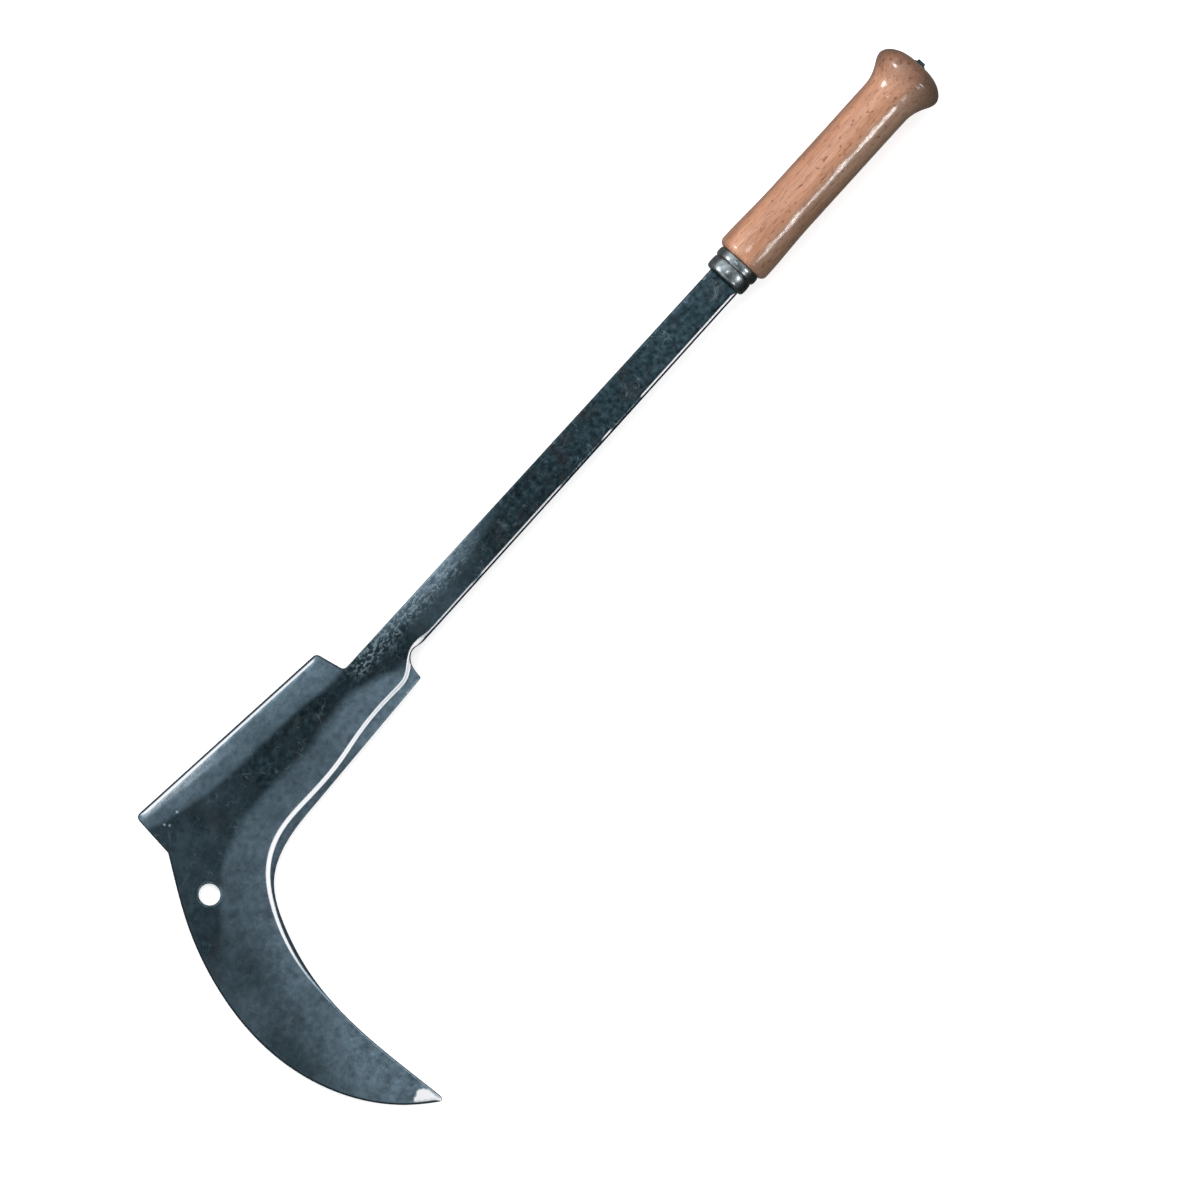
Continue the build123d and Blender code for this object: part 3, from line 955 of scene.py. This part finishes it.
def forged_steel():
    n = Nodes("forged_steel")
    place = n.attribute("tool", "Vector")
    scale, bright, rim, mottle = (n.attribute(k) for k in ("scale", "bright", "rim", "mottle"))
    clouds = n.noise(place, 0.045, 4.0, 0.6, 0.3)
    blots = n.noise(place, 0.13, 4.0, 0.62, 0.2)
    grain = n.noise(place, 0.30, 4.0, 0.62, 0.1)
    fine = n.noise(place, 1.3, 4.0, 0.6)

    # dark forge scale against ground steel, with a ragged border
    ragged = n.add_noise(scale, grain, 0.5)
    ragged = n.add_noise(ragged, blots, 0.6)
    ragged = n.add_noise(ragged, clouds, 0.55)
    cover = n.ramp(ragged, (0.0, 0.0), (0.95, 1.0))
    scaled = n.ramp(grain, (0.34, SCALE_DARK), (0.5, SCALE_MIDDLE), (0.66, SCALE_LIGHT))
    ground = n.ramp(grain, (0.34, GROUND_DARK), (0.66, GROUND_LIGHT))
    colour = n.mix(cover, ground, scaled)
    # brown heat tints in the scale
    heat = n.ramp(n.noise(place, 0.07, 3.0, 0.6, 0.3), (0.52, 0.0), (0.72, 0.5))
    colour = n.mix(n.math("MULTIPLY", heat, cover), colour, HEAT_TINT)
    # thin light wisps here and there
    wisps = n.noise(place, 0.08, 2.0, 0.5, 1.2)
    wisps = n.ramp(wisps, (0.475, BLACK), (0.5, WHITE), (0.525, BLACK))
    patches = n.ramp(n.noise(place, 0.10, 2.0, 0.5), (0.50, 0.0), (0.66, 0.32))
    colour = n.mix(n.math("MULTIPLY", wisps, patches), colour, BARE_FLECK)
    # flecks where the scale has come off
    specks = n.noise(n.stretch(place, (0.32, 0.55, 0.55)), 1.0, 3.0, 0.65, 0.5)
    specks = n.ramp(specks, (0.50, 0.0), (0.62, 1.0))
    colour = n.mix(n.math("MULTIPLY", specks, n.math("MULTIPLY", mottle, 0.9)), colour, BARE_FLECK)
    # worn and ground strips painted up into highlights, and the painted shade of the narrow sides
    # painted highlight: worn strips, the ridge, the heel's bevel, the point and the dents get a
    # near-white colour
    wear_and_highlight = n.ramp(n.add_noise(bright, fine, 0.7), (0.15, 0.0), (0.75, 1.0))
    colour = n.mix(wear_and_highlight, colour, WEAR_AND_PAINTED_HIGHLIGHT)
    # painted shade along the narrow sides
    colour = n.mix(rim, colour, PAINTED_EDGE_SHADE)
    rough = n.ramp(blots, (0.3, 0.24), (0.7, 0.36))
    rough = n.mix(wear_and_highlight, rough, (0.60, 0.60, 0.60))
    rough = n.mix(rim, rough, (0.5, 0.5, 0.5))
    normal = n.bump(fine, 0.10, 0.0002)
    normal = n.bump(n.noise(place, 0.16, 2.0, 0.5), 0.12, 0.0010, normal)
    normal = n.bump(specks, n.math("MULTIPLY", mottle, 0.2), 0.0004, normal)
    n.set(Base_Color=colour, Metallic=1.0, Roughness=rough, Normal=normal)
    return n.material


RING_DARK, RING_LIGHT = (0.14, 0.165, 0.18), (0.32, 0.36, 0.38)
WASHER_DARK, WASHER_LIGHT = (0.02, 0.025, 0.03), (0.06, 0.07, 0.08)


def ring_steel(name, dark, light):
    n = Nodes(name)
    place = n.attribute("tool", "Vector")
    grain = n.noise(n.stretch(place, (4.0, 0.4, 0.4)), 1.0, 3.0)
    blots = n.noise(place, 0.25, 3.0)
    colour = n.ramp(blots, (0.35, dark), (0.65, light))
    rough = n.ramp(grain, (0.3, 0.19), (0.7, 0.29))
    normal = n.bump(blots, 0.10, 0.0010)
    n.set(Base_Color=colour, Metallic=1.0, Roughness=rough, Normal=normal)
    return n.material


# Painted shade on the wood: darker along both sides, where the handle turns away, and darker still
# on the point's side: factors on its colour at shares of the way across, from the heel's side to the
# point's.
PAINTED_SHADE_ACROSS = (
    (0.03, (0.52, 0.51, 0.51)),
    (0.17, (0.92, 0.87, 0.84)),
    (0.30, (1.0, 1.04, 1.10)),
    (0.60, (1.0, 1.04, 1.10)),
    (0.73, (0.58, 0.68, 0.76)),
    (0.86, (0.50, 0.60, 0.66)),
    (0.97, (0.34, 0.42, 0.44)),
)
# The wood is darker towards the butt: factors at tenths of a metre
# from the butt
BUTT_DARKENING = ((0.03, (0.44, 0.42, 0.40)), (0.13, (0.50, 0.48, 0.46)), (0.27, WHITE))
BEECH_DARK = (0.39, 0.175, 0.090)
BEECH_MIDDLE = (0.50, 0.245, 0.142)
BEECH_LIGHT = (0.60, 0.315, 0.195)


def varnished_wood():
    n = Nodes("varnished_beech")
    place = n.attribute("tool", "Vector")
    figure = n.noise(n.stretch(place, (0.012, 0.10, 0.10)), 1.0, 5.0, 0.62, 0.8)
    colour = n.ramp(figure, (0.30, BEECH_DARK), (0.5, BEECH_MIDDLE), (0.7, BEECH_LIGHT))
    fibres = n.noise(n.stretch(place, (0.06, 1.4, 1.4)), 1.0, 3.0, 0.6)
    colour = n.tint(colour, n.ramp(fibres, (0.3, (0.76, 0.73, 0.70)), (0.7, (1.12, 1.12, 1.12))))
    # the short dark flecks of beech, and a few larger spots
    flecks = n.noise(n.stretch(place, (0.20, 0.85, 0.85)), 1.0, 2.0, 0.5)
    colour = n.tint(colour, n.ramp(flecks, (0.56, WHITE), (0.68, (0.74, 0.66, 0.60))))
    spots = n.noise(n.stretch(place, (0.26, 0.42, 0.42)), 1.0, 1.0, 0.5)
    colour = n.tint(colour, n.ramp(spots, (0.66, WHITE), (0.73, (0.60, 0.46, 0.38))))
    along = n.add("ShaderNodeSeparateXYZ")
    n.join(place, along.inputs[0])
    colour = n.tint(colour, n.ramp(n.math("MULTIPLY", along.outputs["X"], 0.01), *BUTT_DARKENING))
    # painted shade: darker along the handle's sides and on the point's side
    across = n.math("MULTIPLY_ADD", n.attribute("side"), 0.5, 0.5)
    colour = n.tint(colour, n.ramp(n.add_noise(across, figure, 0.12), *PAINTED_SHADE_ACROSS))
    # the coat of varnish is uneven
    ripple = n.noise(n.stretch(place, (0.045, 0.10, 0.10)), 1.0, 2.0, 0.5)
    fine = n.noise(n.stretch(place, (0.3, 0.9, 0.9)), 1.0, 2.0, 0.5)
    coat = n.bump(fine, 0.14, 0.0003, n.bump(ripple, 0.5, 0.0012))
    rough = n.ramp(fibres, (0.3, 0.40), (0.7, 0.52))
    n.set(Base_Color=colour, Roughness=rough, Specular_IOR_Level=0.3)
    n.set(Coat_Weight=0.7, Coat_Roughness=0.14, Coat_Normal=coat)
    return n.material


# ---- stage, camera and light -------------------------------------------------------------------
FLOOR_REACH = 6.0
FLOOR_GLOW = 0.42  # keeps the floor white without more light on the tool


def stage_floor():
    """The pale floor. It isn't seen in reflections, which it would whiten."""
    mesh = bpy.data.meshes.new("floor")
    reach = FLOOR_REACH
    corners = [(-reach, -reach, 0), (reach, -reach, 0), (reach, reach, 0), (-reach, reach, 0)]
    mesh.from_pydata(corners, [], [(0, 1, 2, 3)])
    floor = bpy.data.objects.new("floor", mesh)
    bpy.context.scene.collection.objects.link(floor)
    n = Nodes("pale_floor")
    n.set(Base_Color=(0.92, 0.925, 0.93, 1), Roughness=0.9)
    n.set(Emission_Color=(1, 1, 1, 1), Emission_Strength=FLOOR_GLOW)
    mesh.materials.append(n.material)
    floor.visible_glossy = False


VIEW_CENTRE = (368.8, 74.1)  # tool frame, mm
VIEW_WIDTH = 0.720  # of the picture at the tool, m
CAMERA_DISTANCE = 3.0
VIEW_TURN = math.radians(42.27)  # of the tool in the picture


def tool_direction(x, y, z):
    """A direction of the tool's frame in the row's frame."""
    return (TO_ROW.to_3x3() @ Vector((x, y, z))).normalized()


def camera():
    data = bpy.data.cameras.new("camera")
    data.lens = data.sensor_width * CAMERA_DISTANCE / VIEW_WIDTH
    item = bpy.data.objects.new("camera", data)
    bpy.context.scene.collection.objects.link(item)
    up = tool_direction(-math.cos(VIEW_TURN), -math.sin(VIEW_TURN), 0)
    back = tool_direction(0, 0, 1)
    matrix = Matrix((up.cross(back), up, back)).transposed().to_4x4()
    matrix.translation = TO_ROW @ Vector((*VIEW_CENTRE, 0)) + back * CAMERA_DISTANCE
    item.matrix_world = matrix
    bpy.context.scene.camera = item


# How bright the sky is at an angle from straight up, in degrees: the dark hole that the camera looks
# through, then the pale tent around it.
SKY = ((0, 0.025), (5, 0.05), (10, 0.21), (17, 0.52), (28, 0.92), (60, 1.0), (75, 0.75), (90, 0.15))
SKY_STRENGTH = 0.92
SKY_LEAN = 0.7  # how much brighter the sky is on the low side


def world():
    scene = bpy.context.scene
    scene.world = bpy.data.worlds.new("tent")
    scene.world.use_nodes = True
    tree = scene.world.node_tree

    def add(kind, operation=None, value=None):
        node = tree.nodes.new(kind)
        if operation:
            node.operation = operation
        if value is not None:
            node.inputs[1].default_value = value
        return node

    place = add("ShaderNodeTexCoord")
    height = add("ShaderNodeVectorMath", "DOT_PRODUCT", tool_direction(0, 0, 1))
    angle = add("ShaderNodeMath", "ARCCOSINE")
    share = add("ShaderNodeMath", "DIVIDE", math.pi / 2)
    side = add("ShaderNodeVectorMath", "DOT_PRODUCT", tool_direction(0, -1, 0))
    lean = add("ShaderNodeMath", "MULTIPLY_ADD", SKY_LEAN)
    lean.inputs[2].default_value = SKY_STRENGTH
    ramp = add("ShaderNodeValToRGB")
    elements = ramp.color_ramp.elements
    while len(elements) < len(SKY):
        elements.new(0.5)
    for element, (degrees, grey) in zip(elements, SKY):
        element.position = degrees / 90
        element.color = (grey, grey, grey, 1)
    background = tree.nodes["Background"]
    links = tree.links
    links.new(place.outputs["Generated"], height.inputs[0])
    links.new(place.outputs["Generated"], side.inputs[0])
    links.new(height.outputs["Value"], angle.inputs[0])
    links.new(angle.outputs[0], share.inputs[0])
    links.new(share.outputs[0], ramp.inputs["Fac"])
    links.new(side.outputs["Value"], lean.inputs[0])
    links.new(ramp.outputs["Color"], background.inputs["Color"])
    links.new(lean.outputs[0], background.inputs["Strength"])


LAMP_DISTANCE = 1.3
# Each lamp: its angle from straight up towards +Y of the tool and its angle towards the blade, in
# degrees, its size in metres, its power, and the x that it points at
LAMPS = {
    "handle_strip": (50.0, -5.5, (0.16, 0.20), 1.4, 90.0),
    "butt_strip": (50.0, -7.8, (0.06, 0.42), 2.0, 90.0),
    "blade_strip": (50.0, 0.0, (0.50, 0.25), 2.6, 640.0),
    "left_softbox": (-56.0, 16.0, (0.30, 0.24), 7.0, 90.0),
    "top_lamp": (-11.0, -0.6, (0.05, 0.30), 0.9, 90.0),
}
HANDLE_LAMP = "left_softbox"  # kept off the forging, where it would glare


def area_light(name, tilt, forward, size, power, target_x):
    """A soft light over the tool."""
    data = bpy.data.lights.new(name, "AREA")
    data.shape = "RECTANGLE"
    data.size, data.size_y = size
    data.energy = power
    item = bpy.data.objects.new(name, data)
    bpy.context.scene.collection.objects.link(item)
    t, f = math.radians(tilt), math.radians(forward)
    back = tool_direction(math.sin(f), math.sin(t) * math.cos(f), math.cos(t) * math.cos(f))
    side = back.cross(tool_direction(1, 0, 0)).normalized()
    matrix = Matrix((side.cross(back), side, back)).transposed().to_4x4()
    matrix.translation = TO_ROW @ Vector((target_x, 0, 0)) + back * LAMP_DISTANCE
    item.matrix_world = matrix
    return item


def keep_off(lamp, piece):
    """Light linking: the lamp lights everything but the piece."""
    spared = bpy.data.collections.new(lamp.name + "_spares")
    spared.objects.link(piece)
    spared.collection_objects[0].light_linking.link_state = "EXCLUDE"
    lamp.light_linking.receiver_collection = spared


def lights(forging):
    lamps = {name: area_light(name, *settings) for name, settings in LAMPS.items()}
    keep_off(lamps[HANDLE_LAMP], forging)


# ---- the scene ---------------------------------------------------------------------------------
head = forged_head()
handle = wooden_handle()
band, cap = rings()
small_washer = washer()
head.data.materials.append(forged_steel())
handle.data.materials.append(varnished_wood())
ring_material = ring_steel("ring_steel", RING_DARK, RING_LIGHT)
for ring in (band, cap):
    ring.data.materials.append(ring_material)
small_washer.data.materials.append(ring_steel("black_steel", WASHER_DARK, WASHER_LIGHT))
stage_floor()
camera()
world()
lights(head)
bpy.context.scene.view_settings.view_transform = "Standard"
